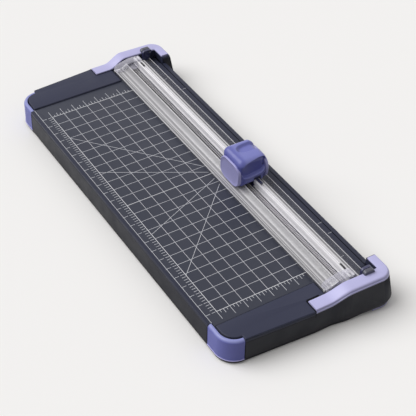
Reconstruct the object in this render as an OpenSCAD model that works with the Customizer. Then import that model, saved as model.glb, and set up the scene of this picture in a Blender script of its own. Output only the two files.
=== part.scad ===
// Desk paper trimmer: a flat base with a printed panel, a hinged rail and a carriage with a round blade.
// The origin is on the table under the middle of the base. X runs towards the rail, Y along the cut, Z up.

/* [Base] */
// Width of the base over its bumpers and the tops of its corner pods
base_w = 164.5; // [158:0.5:185]
// Length of the base at its longest point
base_l = 406; // [400:1:440]
// How much shorter each end is at the bumpers than at the brackets
end_bow = 7; // [4:0.5:9]
// Height of the deck above the table
deck_h = 26; // [24:0.5:34]
// Thickness of the tub's walls
tub_wall = 2.4; // [1.8:0.1:3]
// Thickness of the tub's floor
tub_floor_t = 2.2; // [1.6:0.1:3]
// Height of the tub's floor above the table
floor_gap = 3; // [2.4:0.1:4]
// Gap under the skirts at the two ends
skirt_gap = 0.8; // [0.4:0.1:1.6]
// Width of the skirts under the floor
skirt_w = 7.5; // [6:0.1:8]
// Outer radius of the two bumper corners
left_corner_r = 17.5; // [15:0.5:20]
// Outer radius of the two bracket corners
right_corner_r = 13; // [10:0.5:16]
// How far the corner pods stand out past the deck's right edge
pod_step = 6; // [4:0.5:8]
// Length of a corner pod along the right side
pod_l = 29; // [26:0.5:32]
// How far a corner pod leans out at its foot
pod_flare = 4.5; // [2:0.5:5]
// Thickness of the top cover
cover_t = 3; // [2.4:0.1:4]
// Height of the rim beside the panel
rim_h = 0.4; // [0.2:0.1:0.8]
// Width of the rim beside the panel
rim_w = 3.6; // [3:0.1:5]

/* [Panel and slabs] */
// Thickness of the printed panel
panel_t = 1.4; // [1:0.1:2]
// Length of the far slab, from its seam to the end of the base
far_slab_l = 36; // [33:0.5:39]
// Length of the near slab, from its seam to the end of the base
near_slab_l = 32; // [30:0.5:36]
// Height of the end slabs above the deck
slab_h = 1.5; // [0.8:0.1:2]
// Gap between an end slab and the clamp bar
slab_gap = 0.75; // [0.5:0.05:1.5]

/* [Bumpers] */
// Thickness of the corner bumpers
bumper_t = 4.5; // [3.6:0.1:5.5]
// How far the bumpers stand proud of the walls
bumper_proud = 0.4; // [0.2:0.1:0.8]
// Length of a bumper's straight leg past the corner
bumper_leg = 12; // [8:0.5:16]
// Height of the bumper's lip above the deck
bumper_rise = 0.3; // [0.1:0.1:0.8]

/* [Brackets] */
// Length of a bracket across the base
bracket_w = 79.5; // [74:0.5:82]
// Depth of a bracket's raised part, from the end of the base to its inner wall
bracket_d = 13; // [12:0.1:15]
// How much the inner wall comes in at the bracket's low end
bracket_taper = 2; // [0.5:0.1:2]
// Height of a bracket's low end above the deck
bracket_low_h = 2.8; // [1.8:0.1:3.2]
// Height of a bracket above the deck where its slope ends
bracket_high_h = 9.8; // [8.8:0.1:10.4]
// How much lower a bracket is at its corner
bracket_fall = 1.4; // [0.6:0.1:1.8]
// Thickness of a bracket's top and outer edge
bracket_t = 3.7; // [3:0.1:4]
// Thickness of a bracket's inner wall
bracket_wall = 2; // [1.4:0.1:2.4]
// Length of the bracket's flat low end
bracket_flat = 14; // [10:0.5:16]
// Length of the slope between the low end and the raised part
ramp_l = 21; // [16:0.5:24]
// Width of the bracket's hook
hook_w = 9.9; // [9:0.1:10.2]
// Radius of the hook's inner corner
hook_r = 1.5; // [0.5:0.1:1.6]
// Height of the lips under the bracket corners
corner_lip_h = 2; // [1.2:0.1:2.4]
// How far the lips reach from the corner
corner_lip_l = 22; // [18:0.5:28]

/* [Cutting strip] */
// Distance from the right side of the base to the cut
cut_in = 39.95; // [39:0.05:44]
// Width of the cutting strip left of the cut
strip_left = 2; // [1.5:0.1:2.5]
// Width of the cutting strip right of the cut
strip_right = 2.6; // [2:0.1:2.8]
// Height of the cutting strip above the deck
strip_rise = 0.3; // [0.1:0.05:0.5]
// Depth of the channel that holds the cutting strip
strip_seat = 1.7; // [1.5:0.1:2.2]
// Distance from a bracket's inner wall to the end of the cutting strip
strip_gap = 3; // [2.5:0.5:10]
// Width of the groove that the blade runs in
blade_groove_w = 1.2; // [1:0.1:1.6]
// Depth of the groove that the blade runs in
blade_groove_d = 1.1; // [1:0.05:1.4]

/* [Rail] */
// Gap between the rail and the deck
rail_gap = 0.4; // [0.35:0.05:0.8]
// Width of the slot left of the cut
slot_left = 6.3; // [6.2:0.1:7]
// Width of the slot right of the cut
slot_right = 3.1; // [3.1:0.1:3.6]
// Width of the clamp bar
clamp_w = 14.7; // [14:0.1:18]
// How far the clamp bar ends inside the end caps' outer faces
clamp_in = 2.5; // [1.5:0.5:6]
// Width of the clamp bar's flat flange
flange_w = 8.5; // [8:0.1:9]
// Thickness of the clamp bar's flange and of the plate
plate_t = 2; // [1.6:0.1:2.2]
// Height of the rib along the slot
slot_rib_h = 5.8; // [5.4:0.1:6.2]
// Width of the rib along the slot
slot_rib_w = 1; // [0.8:0.1:1.4]
// Height of the fine ribs on the flange and the plate
fine_rib_h = 0.5; // [0.3:0.1:0.6]
// Width of the fine ribs on the flange and the plate
fine_rib_w = 0.7; // [0.5:0.1:1]
// Width of the track
track_w = 5.6; // [5.4:0.1:6.4]
// Height of the track
track_h = 8.2; // [7.6:0.1:8.4]
// Width of the plate right of the track
rail_plate_w = 12.9; // [12:0.1:13.6]
// How far the guide rail ends inside the end caps' outer faces
guide_in = 0.5; // [0.3:0.1:2]
// Width of the groove on top of the track
top_groove_w = 2.2; // [1.8:0.1:2.6]
// Depth of the groove on top of the track
top_groove_d = 1.7; // [1.2:0.1:2]
// Height of the hooking grooves in the slot's walls
side_groove_h = 1.8; // [1.6:0.1:2]
// Depth of the hooking grooves in the slot's walls
side_groove_d = 1; // [0.9:0.05:1.1]
// Length of an end cap
cap_l = 9; // [7:0.5:11]
// Gap between an end cap and the bracket's low end
cap_gap = 0.5; // [0.4:0.1:1.5]
// Height of an end cap
cap_h = 9.6; // [9:0.1:10.4]
// Length of a plug in the track's top groove
plug_l = 7; // [5:0.5:9]
// Distance from a plug to its end cap
plug_gap = 2; // [1:0.5:4]

/* [Hinge] */
// Distance from a bracket's hook to the hinge pins
hinge_in = 7.85; // [7:0.05:8.6]
// Height of the hinge pins above the deck
hinge_h = 10; // [9.8:0.1:10.6]
// Radius of the hinge pins
pin_r = 1.25; // [1:0.05:1.3]
// Length of a hinge pin
pin_l = 6.6; // [5.5:0.1:6.8]
// Radius of a knuckle's rounded corners
knuckle_r = 2.5; // [2:0.1:2.8]
// Length of a knuckle along its pin
knuckle_l = 3; // [2.6:0.1:4]
// Depth of the recess between a knuckle and the bracket's hook
pocket_d = 1.8; // [1:0.1:2.2]

/* [Carriage] */
// Place of the carriage along the rail
carriage_y = -27; // [-120:1:120]
// Width of the carriage shell
shell_w = 27; // [26.4:0.1:28]
// Length of the carriage shell along the rail
shell_l = 32.4; // [32:0.1:36]
// Height of the shell's underside above the deck
shell_low = 6; // [5.8:0.1:7]
// Height of the shell's top above the deck
shell_top = 34.6; // [33:0.1:40]
// Thickness of the shell's sides
shell_wall = 1.8; // [1.4:0.1:2]
// Radius of the shell's upper edges
shell_edge_r = 5; // [3:0.5:6]
// Depth of the finger scoops in the two end faces
scoop_d = 2.4; // [1.6:0.1:2.6]
// Depth of the thumb scoop on top
thumb_d = 1.2; // [0.6:0.1:1.6]
// How far the carriage is pressed down to cut
press_travel = 1.5; // [1:0.1:1.6]
// Thickness of a side plate
side_plate_t = 3.2; // [2.4:0.1:3.6]
// Length of a side plate
side_plate_l = 31; // [28:0.5:32]
// Height of a side plate's lower edge above the deck
side_plate_low = 4.6; // [4.4:0.1:5.4]
// Height of a side plate's upper edge above the deck
side_plate_top = 28.6; // [26:0.1:30]
// Length of the shoe along the rail
shoe_l = 28.4; // [28:0.1:28.8]
// Thickness of the shoe's plate
shoe_t = 2; // [1.6:0.1:2.2]
// How far the shoe's tongues reach out past the shell
tongue_l = 6.5; // [4:0.5:8]

/* [Blade] */
// Radius of the blade
blade_r = 12; // [11:0.1:12.2]
// Thickness of the blade
blade_t = 0.4; // [0.3:0.05:0.5]
// Gap between the blade and the cutting strip when the carriage is up
blade_gap = 0.9; // [0.7:0.05:1.2]
// Radius of the blade's hub
hub_r = 4.5; // [3.5:0.1:5]
// Length of the hub
hub_l = 2.4; // [2:0.1:2.6]
// Radius of the blade's axle
axle_r = 1.5; // [1.2:0.05:1.8]
// Thickness of the holder's left cheek
left_cheek_t = 2.6; // [2:0.1:2.7]
// Thickness of the holder's right cheek
right_cheek_t = 1.1; // [0.9:0.05:1.1]
// Height of the holder's top plate above the deck
holder_h = 22; // [21:0.5:24]
// Radius of the two guide pins
guide_pin_r = 1.2; // [1:0.05:1.4]
// Mean radius of the press springs
spring_r = 2; // [1.9:0.05:2.1]
// Thickness of the spring wire
spring_wire = 0.6; // [0.4:0.05:0.7]
// Turns in a press spring
spring_turns = 6; // [4:1:8]

/* [Feet and screws] */
// Radius of a rubber foot
foot_r = 5.5; // [4:0.1:6]
// Distance from the skirt to the right-hand feet
foot_gap = 1; // [0.5:0.5:12]
// Radius of a screw's shank
screw_r = 1.25; // [1:0.05:1.5]
// Radius of a screw's head
screw_head_r = 2.6; // [2.2:0.1:3]
// Height of a screw's head
screw_head_h = 1.2; // [1:0.1:1.4]
// Length of a screw
screw_l = 10; // [8:0.5:14]
// Radius of a screw post
post_r = 3.2; // [2.8:0.1:3.4]

/* [Hidden] */

// One overrun for every cut
over = 1;
// Running clearance of a pin in its bore, and the gap between parts that slide past each other
fit = 0.05;
gap = 0.3;
// Steps in a corner's arc and in the brackets' slope
arc_steps = 12;
ramp_steps = 12;

// Sides and ends of the base
x_left = -base_w / 2 + bumper_proud;
x_right = base_w / 2;
half_l = base_l / 2;
deck_right = x_right - pod_step;
pod_y = half_l - pod_l;
bracket_in = half_l - bracket_d;
far_seam = half_l - far_slab_l;
near_seam = half_l - near_slab_l;
cut_x = x_right - cut_in;
strip_l = 2 * (bracket_in - strip_gap);
left_arc_x = x_left + left_corner_r;
left_arc_y = half_l - end_bow - left_corner_r;
bumper_y = left_arc_y - bumper_leg;
cover_z = deck_h - cover_t;
floor_z = floor_gap + tub_floor_t;
// How far the skirts reach past the bumpers' legs
skirt_past = 2;
// Height above the floor where a pod leans out most, and the share of that left at the lips
flare_rise = 5.2;
foot_share = 0.55;

// Brackets: the free end, the slope and the hook
bracket_x0 = x_right - bracket_w;
ramp_x0 = bracket_x0 + bracket_flat;
ramp_x1 = ramp_x0 + ramp_l;
hook_x0 = x_right - hook_w;
// Share of the ends' bow that is reached at the bracket's free end
low_bow_share = 0.65;

// Rail: its underside, the slot and its bars
rail_z = deck_h + rail_gap;
slot_x0 = cut_x - slot_left;
slot_x1 = cut_x + slot_right;
clamp_x0 = slot_x0 - clamp_w;
plate_x1 = slot_x1 + track_w + rail_plate_w;
cap_end = bracket_in - bracket_taper - cap_gap;
cap_y0 = cap_end - cap_l;
clamp_l = 2 * (cap_end - clamp_in);
guide_l = 2 * (cap_end - guide_in);
side_groove_z = 2;
top_groove_x = (track_w - top_groove_w) / 2;
groove_mid_x = slot_x1 + track_w / 2;
track_relief_w = 1.6;
track_relief_h = 4.4;
clamp_rib_x = 3;
plate_rib_x = 3.7;
grip_x = 4.6;
grip_w = 2.4;
grip_t = 1;
grip_seat = 0.9;
// Outline of an end cap, as shares of its width and height from the clamp bar's edge
cap_in = 0.9;
cap_past = 4.2;
cap_w = slot_x1 + track_w + cap_past - clamp_x0 - cap_in;
cap_shares = [[0, 0], [0, 0.27], [0.062, 0.58], [0.2, 0.74], [0.38, 0.9], [0.54, 1], [0.7, 0.99],
  [0.885, 0.93], [0.96, 0.375], [1, 0.25], [1, 0]];

// Hinge: its blocks stand on the floor and look out of the brackets' inner walls
hinge_x = hook_x0 - hinge_in;
hinge_z = deck_h + hinge_h;
block_proud = 0.6;
block_y0 = bracket_in - block_proud;
block_l = 4;
knuckle_y1 = block_y0 - gap;
knuckle_y0 = knuckle_y1 - knuckle_l;
knuckle_web_w = 7.4;
knuckle_x0 = plate_x1 - knuckle_web_w;
knuckle_x1 = hinge_x + knuckle_r;
knuckle_z1 = hinge_z + knuckle_r;
pin_y0 = knuckle_y0 - gap;
pocket_w = 7;
pocket_l = 13.6;
pocket_edge = 1;

// Carriage: heights from the table
shell_off = 1.2;
shell_x = cut_x + shell_off;
track_z = rail_z + track_h;
shoe_z = track_z + gap;
shoe_top_z = shoe_z + shoe_t;
shell_z0 = deck_h + shell_low;
shell_z1 = deck_h + shell_top;
holder_z = deck_h + holder_h;
holder_t = 2;
blade_z = deck_h + strip_rise + blade_gap + blade_r;
guide_pin_in = 3.2;
guide_pin_x0 = shell_x - shell_w / 2 + shell_wall + guide_pin_in;
guide_pin_out = 7.9;
guide_pin_x1 = cut_x + guide_pin_out;
leg_t = 1.4;
leg_low = 0.8;
hook_t = 0.9;
hook_inset = 0.7;
hook_y0 = 7.5;
outer_leg_t = 1.8;
outer_leg_low = 0.6;
pin_edge = 1.4;
cheek_l = 11;
cheek_end_r = 4.5;
cheek_gap = 0.25;
left_cheek_x1 = cut_x - hub_l / 2 - cheek_gap;
right_cheek_x0 = cut_x + hub_l / 2 + cheek_gap;
press_room = 0.5;
notch_in = 2.6;
notch_z = shoe_z + shoe_t / 2 + press_travel + press_room;
cavity_z = shoe_top_z + press_travel + press_room;
cavity_top = shell_z1 - thumb_d - 2 * shell_wall;
scoop_r = 13;
scoop_w = 22;
scoop_lift = 2.4;
thumb_r = 30;
thumb_w = 20;
thumb_y = 3;
plate_corner_r = 7;
blade_seat = 1;
bevel_w = 1;

// Screw posts of the cover as [x, y] and of one bracket as [x, distance from the middle]
cover_post_in = 12;
cover_post_out = 10;
cover_post_x0 = x_left + cover_post_in;
cover_post_x1 = cut_x + cover_post_out;
cover_post_end = 53;
cover_post_y = half_l - cover_post_end;
cover_posts = [for (x = [cover_post_x0, cover_post_x1], y = [-cover_post_y, 0, cover_post_y]) [x, y]];
bracket_post_off = 2;
bracket_posts = [[(ramp_x1 + knuckle_x0) / 2, half_l - tub_wall - post_r - gap],
  [x_right - tub_wall - post_r - gap, pod_y + tub_wall + post_r + bracket_post_off]];
shell_post_y = 8;
shell_post_in = 1.4;
shell_post_r = 2.2;
shell_posts = [[guide_pin_x0 + shell_post_in, -shell_post_y], [guide_pin_x1 - shell_post_in, shell_post_y]];
cap_screw_in = 4.4;
cap_screw_r = 0.9;
cap_head_r = 2.2;
cap_head_h = 1.2;
round_steps = 48;
// Steps round one turn of a spring, and sides of its wire
coil_steps = 12;
coil_sides = 6;

// A number that runs smoothly from 0 to 1
function ease(t) = let (s = max(0, min(1, t))) s * s * (3 - 2 * s);
// How far along the brackets' slope the place x is
function ramp(x) = ease((x - ramp_x0) / ramp_l);
// Distance from the middle to the end of the base at the place x
function end_y(x) = half_l - end_bow * (1 - low_bow_share * max(0, min(1, (x - left_arc_x) /
  (bracket_x0 - left_arc_x))) - (1 - low_bow_share) * ramp(x));
// Distance from the middle to the bracket's inner wall, and the height of its top
function wall_y(x) = bracket_in - bracket_taper * (1 - ramp(x));
function bracket_z(x) = deck_h + bracket_low_h + (bracket_high_h - bracket_low_h) * ramp(x)
  - bracket_fall * max(0, x - ramp_x1) / (x_right - ramp_x1);
function arc(x, y, r, a0, a1) = [for (k = [0:arc_steps]) let (a = a0 + (a1 - a0) * k / arc_steps)
  [x + r * cos(a), y + r * sin(a)]];
function back(points) = [for (k = [len(points) - 1:-1:0]) points[k]];
function flip(points) = [for (p = back(points)) [p[0], -p[1]]];
ramp_xs = [for (k = [0:ramp_steps]) ramp_x0 + ramp_l * k / ramp_steps];

// Far half of the base's outline from its right side to the bumper, moved in by i
function right_line(i) = concat([[deck_right - i, pod_y + i], [x_right - i, pod_y + i]],
  arc(x_right - right_corner_r, half_l - right_corner_r, right_corner_r - i, 0, 90),
  [for (x = back(ramp_xs)) [x, end_y(x) - i]], [[bracket_x0, end_y(bracket_x0) - i]]);
// The whole outline, with round corners or with room for the bumpers
function round_half(i) = concat(right_line(i), arc(left_arc_x, left_arc_y, left_corner_r - i, 90, 180));
function notched_half(i) = concat(right_line(i), [[left_arc_x + i, end_y(left_arc_x) - i]],
  arc(left_arc_x, left_arc_y, left_corner_r - bumper_t - i, 90, 180),
  [[x_left + bumper_t + i, bumper_y - i], [x_left + i, bumper_y - i]]);
function whole(half) = concat(half, flip(half));
// Outline of the far pod past the brackets' slope, standing out by f at the corner
function pod_line(f) = concat([[ramp_x1, pod_y], [x_right + f, pod_y]],
  arc(x_right - right_corner_r, half_l - right_corner_r, right_corner_r + f, 0, 90),
  [[ramp_x1, end_y(ramp_x1)]]);
// Outline of the far bracket, with its inner edge moved by w towards the corner
function bracket_line(w) = concat([[x_right, pod_y + w]],
  arc(x_right - right_corner_r, half_l - right_corner_r, right_corner_r, 0, 90),
  [for (x = back(ramp_xs)) [x, end_y(x)]], [[bracket_x0 + w, end_y(bracket_x0)],
  [bracket_x0 + w, wall_y(bracket_x0) + w]], [for (x = ramp_xs) [x, wall_y(x) + w]],
  arc(hook_x0 + w - hook_r, bracket_in + w - hook_r, hook_r, 90, 0), [[hook_x0 + w, pod_y + w]]);

// A flat shape from z0 to z1, and a shape drawn in X and Z from y0 to y1
module layer(points, z0, z1) translate([0, 0, z0]) linear_extrude(height = z1 - z0) polygon(points);
module along_y(y0, y1) translate([0, y1, 0]) rotate([90, 0, 0]) linear_extrude(height = y1 - y0) children();
module block(x0, x1, y0, y1, z0, z1) translate([x0, y0, z0]) cube([x1 - x0, y1 - y0, z1 - z0]);
module post(x, y, z0, z1, r) translate([x, y, z0]) cylinder(h = z1 - z0, r = r, $fn = round_steps);
module pin_y(x, z, y0, y1, r) translate([x, y1, z]) rotate([90, 0, 0])
  cylinder(h = y1 - y0, r = r, $fn = round_steps);
module pin_x(x0, x1, y, z, r) translate([x0, y, z]) rotate([0, 90, 0])
  cylinder(h = x1 - x0, r = r, $fn = round_steps);
// The same piece at the far end, or at the near end when side is -1
module at_end(side) mirror([0, side < 0 ? 1 : 0, 0]) children();
module both_ends() for (side = [1, -1]) at_end(side) children();

// Everything under the brackets' top, lowered by drop, down to z0
module under_ramp(z0, drop) along_y(-base_l, base_l) polygon(concat(
  [[bracket_x0 - over, z0], [x_right + over, z0], [x_right + over, bracket_z(x_right + over) - drop]],
  [for (x = back(ramp_xs)) [x, bracket_z(x) - drop]], [[bracket_x0 - over, bracket_z(bracket_x0) - drop]]));

module tub_ring(z0, z1) difference() {
  layer(whole(round_half(0)), z0, z1);
  layer(whole(round_half(tub_wall)), z0 - over, z1 + over);
}

module corner_lip_zone(z0, z1) block(x_right - corner_lip_l, x_right + pod_flare + over,
  half_l - corner_lip_l, half_l + pod_flare + over, z0, z1);

module corner_lip_shape(z0, z1) intersection() {
  difference() {
    union() {
      layer(whole(round_half(0)), z0, z1);
      layer(pod_line(pod_flare * foot_share), z0, z1);
    }
    layer(whole(round_half(skirt_w - fit)), z0 - over, z1 + over);
  }
  corner_lip_zone(z0 - over, z1 + over);
}

module screw_hole(x, y) {
  post(x, y, -over, floor_z + over, screw_r + gap);
  post(x, y, -over, floor_gap + screw_head_h, screw_head_r + gap);
}

// Wall of the far pod under its bracket, leaning out towards its foot
module pod_foot(z0, z1, zm) difference() {
  hull() {
    layer(pod_line(0), z1 - fit, z1);
    layer(pod_line(pod_flare), zm, zm + fit);
    layer(pod_line(pod_flare * foot_share), z0, z0 + fit);
  }
  layer(whole(round_half(tub_wall)), z0 - over, z1 + over);
}

// Moulded tub: floor, walls, end skirts and the raised corner pods
module base_tub() color("#3a3a3d") difference() {
  union() {
    layer(whole(notched_half(0)), floor_gap, floor_z);
    difference() {
      layer(whole(notched_half(0)), floor_gap, cover_z);
      layer(whole(notched_half(tub_wall)), floor_gap - over, cover_z + over);
    }
    both_ends() intersection() {
      tub_ring(cover_z - over, deck_h + bracket_high_h);
      layer(bracket_line(0), cover_z - over, deck_h + bracket_high_h);
      under_ramp(cover_z - over, bracket_t);
    }
    both_ends() pod_foot(skirt_gap + corner_lip_h, bracket_z(x_right + over) - bracket_t,
      floor_gap + flare_rise);
    both_ends() difference() {
      intersection() {
        layer(whole(round_half(bumper_proud)), skirt_gap, floor_gap);
        block(-base_w, base_w, bumper_y - skirt_past, base_l, skirt_gap - over, floor_gap + over);
      }
      layer(whole(round_half(skirt_w)), skirt_gap - over, floor_gap + over);
      corner_lip_zone(-over, skirt_gap + corner_lip_h);
    }
  }
  for (p = cover_posts) screw_hole(p[0], p[1]);
  both_ends() for (p = bracket_posts) screw_hole(p[0], p[1]);
}

module bumper_leg_zone() block(x_left - over, x_left + bumper_t, bumper_y, base_l, cover_z - over,
  deck_h + rim_h + over);

// Moulded top cover: deck, rim, seats for the panel and the strip, screw posts
module top_cover() color("#3f4358") difference() {
  union() {
    layer(whole(notched_half(0)), cover_z, deck_h);
    block(x_left, x_left + rim_w, -near_seam, far_seam, cover_z, deck_h + rim_h);
    for (p = cover_posts) post(p[0], p[1], floor_z, cover_z + over, post_r);
  }
  both_ends() {
    layer(bracket_line(0), cover_z - over, deck_h + over);
    block(hook_x0 - pocket_edge - pocket_w, hook_x0 - pocket_edge, bracket_in - pocket_l, bracket_in,
      deck_h - pocket_d, deck_h + over);
    block(knuckle_x0, knuckle_x1, block_y0, bracket_in, cover_z - over, deck_h + over);
    bumper_leg_zone();
  }
  block(x_left + rim_w, cut_x - strip_left, -near_seam, far_seam, deck_h - panel_t, deck_h + over);
  block(cut_x - strip_left, cut_x + strip_right, -strip_l / 2, strip_l / 2, deck_h - strip_seat,
    deck_h + over);
  for (p = cover_posts) post(p[0], p[1], floor_z - over, cover_z - tub_wall, screw_r);
}

module grid_panel() color("#484a55") difference() {
  block(x_left + rim_w, cut_x - strip_left, -near_seam, far_seam, deck_h - panel_t, deck_h);
  both_ends() bumper_leg_zone();
}

// Raised slab from its seam to the end of the base
module end_slab(seam) difference() {
  intersection() {
    layer(whole(notched_half(0)), deck_h, deck_h + slab_h);
    block(-base_w, clamp_x0 - slab_gap, seam, base_l, deck_h - over, deck_h + slab_h + over);
  }
  layer(bracket_line(0), deck_h - over, deck_h + slab_h + over);
}

// Soft corner bumper: a quarter ring with a leg along the side
module bumper() layer(concat(arc(left_arc_x, left_arc_y, left_corner_r + bumper_proud, 90, 180),
  [[x_left - bumper_proud, bumper_y], [x_left + bumper_t, bumper_y]],
  arc(left_arc_x, left_arc_y, left_corner_r - bumper_t, 180, 90)), floor_gap, deck_h + bumper_rise);

// Hooked cover over a corner pod, with its inner wall and screw posts
module bracket() difference() {
  union() {
    intersection() {
      difference() {
        layer(bracket_line(0), cover_z - over, deck_h + bracket_high_h);
        under_ramp(cover_z - over - over, bracket_t);
      }
      under_ramp(cover_z - over, 0);
    }
    difference() {
      intersection() {
        difference() {
          layer(bracket_line(0), cover_z, deck_h + bracket_high_h);
          layer(bracket_line(bracket_wall), cover_z - over, deck_h + bracket_high_h + over);
        }
        under_ramp(cover_z - over, bracket_t - fit);
      }
      tub_ring(cover_z - over, deck_h + bracket_high_h);
    }
    for (p = bracket_posts) post(p[0], p[1], floor_z, deck_h + bracket_high_h - bracket_t + fit, post_r);
  }
  for (p = bracket_posts) post(p[0], p[1], floor_z - over, floor_z + screw_l, screw_r);
  block(knuckle_x0, knuckle_x1, block_y0, block_y0 + block_l, floor_z, knuckle_z1);
}

// Toothed strip under the blade, with the groove that the blade runs in
module cutting_strip() color("#8a807c") difference() {
  block(cut_x - strip_left, cut_x + strip_right, -strip_l / 2, strip_l / 2, deck_h - strip_seat,
    deck_h + strip_rise);
  block(cut_x - blade_groove_w / 2, cut_x + blade_groove_w / 2, -base_l, base_l,
    deck_h + strip_rise - blade_groove_d, deck_h + strip_rise + over);
}

// Outline of a lug about a hinge pin, from z0 to its rounded top
module lug(z0, y0, y1) {
  for (x = [knuckle_x0 + knuckle_r, hinge_x]) pin_y(x, hinge_z, y0, y1, knuckle_r);
  block(knuckle_x0 + knuckle_r, hinge_x, y0, y1, z0, knuckle_z1);
  block(knuckle_x0, hinge_x, y0, y1, z0, hinge_z);
}

// Block on the tub's floor that stands up through the bracket and holds a hinge pin
module hinge_block() difference() {
  union() {
    lug(floor_z, block_y0, block_y0 + block_l);
    block(hinge_x, knuckle_x1, block_y0, block_y0 + block_l, floor_z, hinge_z);
  }
  pin_y(hinge_x, hinge_z, block_y0 - over, pin_y0 + pin_l, pin_r);
}

module hinge_pin() pin_y(hinge_x, hinge_z, pin_y0, pin_y0 + pin_l, pin_r);

module rubber_feet() color("#1d1d1f") for (x = [left_arc_x, deck_right - skirt_w - foot_gap - foot_r])
  both_ends() post(x, left_arc_y, 0, floor_gap, foot_r);

// Screw with its head in the floor's recess
module screw(x, y) {
  post(x, y, floor_gap, floor_gap + screw_head_h, screw_head_r);
  post(x, y, floor_gap + screw_head_h, floor_gap + screw_l, screw_r);
}

module base_screws() color("#9a9a9e") for (p = cover_posts) screw(p[0], p[1]);
module bracket_screws() color("#9a9a9e") both_ends() for (p = bracket_posts) screw(p[0], p[1]);

// Cross-section of the clamp bar: edge lip, fine rib, flange, slope, and the grooved rib along the slot
module clamp_section() translate([clamp_x0, rail_z]) polygon([[0, 0], [grip_x, 0], [grip_x, grip_seat],
  [grip_x + grip_w, grip_seat], [grip_x + grip_w, 0], [clamp_w, 0], [clamp_w, side_groove_z],
  [clamp_w - side_groove_d, side_groove_z], [clamp_w - side_groove_d, side_groove_z + side_groove_h],
  [clamp_w, side_groove_z + side_groove_h], [clamp_w, slot_rib_h], [clamp_w - slot_rib_w, slot_rib_h],
  [clamp_w - slot_rib_w, slot_rib_h - fine_rib_h], [flange_w, plate_t], [clamp_rib_x + fine_rib_w, plate_t],
  [clamp_rib_x + fine_rib_w, plate_t + fine_rib_h], [clamp_rib_x, plate_t + fine_rib_h],
  [clamp_rib_x, plate_t], [fine_rib_w, plate_t], [fine_rib_w, plate_t + fine_rib_h],
  [0, plate_t + fine_rib_h]]);

// Cross-section of the guide rail: the track with its grooves, and the plate with its two fine ribs
module guide_section() translate([slot_x1, rail_z]) difference() {
  union() {
    square([track_w, track_h]);
    square([track_w + rail_plate_w, plate_t]);
    for (x = [plate_rib_x, rail_plate_w - fine_rib_w]) translate([track_w + x, 0])
      square([fine_rib_w, plate_t + fine_rib_h]);
  }
  translate([top_groove_x, track_h - top_groove_d]) square([top_groove_w, top_groove_d + over]);
  translate([-over, side_groove_z]) square([side_groove_d + over, side_groove_h]);
  translate([top_groove_x + (top_groove_w - track_relief_w) / 2, -over])
    square([track_relief_w, track_relief_h + over]);
}

module clamp_bar() color("#c9c9cf") along_y(-clamp_l / 2, clamp_l / 2) clamp_section();

module guide_rail() color("#c9c9cf") difference() {
  along_y(-guide_l / 2, guide_l / 2) guide_section();
  both_ends() {
    block(knuckle_x0, plate_x1 + over, knuckle_y0, base_l, rail_z - over, track_z);
    cap_screw();
  }
}

// End cap that bridges the slot and joins the two bars
module rail_cap() difference() {
  along_y(cap_y0, cap_end) translate([clamp_x0 + cap_in, rail_z])
    polygon([for (s = cap_shares) [s[0] * cap_w, s[1] * cap_h]]);
  along_y(-clamp_l / 2, clamp_l / 2) clamp_section();
  along_y(-guide_l / 2, guide_l / 2) guide_section();
  cap_screw();
}

// Knuckle that stands on the corner of the rail's plate, round about the hinge pin
module knuckle() difference() {
  lug(rail_z, knuckle_y0, knuckle_y1);
  pin_y(hinge_x, hinge_z, knuckle_y0 - over, knuckle_y1 + over, pin_r + fit);
}

module grip_strip() color("#6c6d75") translate([clamp_x0 + grip_x, -cap_y0, rail_z + grip_seat - grip_t])
  cube([grip_w, 2 * cap_y0, grip_t]);

module track_plugs() color("#26262c") both_ends() translate([slot_x1 + top_groove_x,
  cap_y0 - plug_gap - plug_l, track_z - top_groove_d]) cube([top_groove_w, plug_l, top_groove_d - gap]);

// Screw that comes up through the track into its end cap
module cap_screw() {
  post(groove_mid_x, cap_y0 + cap_screw_in, rail_z, rail_z + cap_head_h, cap_head_r);
  post(groove_mid_x, cap_y0 + cap_screw_in, rail_z + cap_head_h - fit, track_z, cap_screw_r);
}

module cap_screws() color("#9a9a9e") both_ends() cap_screw();

// Shoe that hooks the carriage onto the rail, open in the middle for the blade
module slide_shoe() color("#25284a") translate([0, carriage_y, 0]) difference() {
  union() {
    block(guide_pin_x0 - guide_pin_r - pin_edge, slot_x1 + track_w + gap + outer_leg_t, -shoe_l / 2,
      shoe_l / 2, shoe_z, shoe_top_z);
    block(slot_x1 + top_groove_x, slot_x1 + top_groove_x + top_groove_w, -shell_l / 2 - tongue_l,
      shell_l / 2 + tongue_l, shoe_z, shoe_z + shoe_t / 2);
    block(slot_x0 + gap, slot_x0 + gap + leg_t, -shoe_l / 2, shoe_l / 2, rail_z + leg_low, shoe_z + fit);
    block(slot_x0 - hook_inset + gap, slot_x0 + gap + fit, -shoe_l / 2, shoe_l / 2,
      rail_z + side_groove_z + gap, rail_z + side_groove_z + side_groove_h - gap);
    both_ends() {
      block(slot_x1 - gap - hook_t, slot_x1 - gap, hook_y0, shoe_l / 2, rail_z + leg_low, shoe_z + fit);
      block(slot_x1 - gap - fit, slot_x1 + hook_inset - gap, hook_y0, shoe_l / 2,
        rail_z + side_groove_z + gap, rail_z + side_groove_z + side_groove_h - gap);
    }
    block(slot_x1 + track_w + gap, slot_x1 + track_w + gap + outer_leg_t, -shoe_l / 2, shoe_l / 2,
      rail_z + plate_t + outer_leg_low, shoe_z + fit);
  }
  block(left_cheek_x1, right_cheek_x0, -blade_r - gap, blade_r + gap, rail_z, shoe_top_z + over);
  block(left_cheek_x1 - left_cheek_t - gap, right_cheek_x0 + right_cheek_t + gap, -cheek_l / 2 - gap,
    cheek_l / 2 + gap, rail_z, shoe_top_z + over);
  for (x = [guide_pin_x0, guide_pin_x1]) post(x, 0, shoe_z - over, shoe_top_z + over, guide_pin_r);
}

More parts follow.
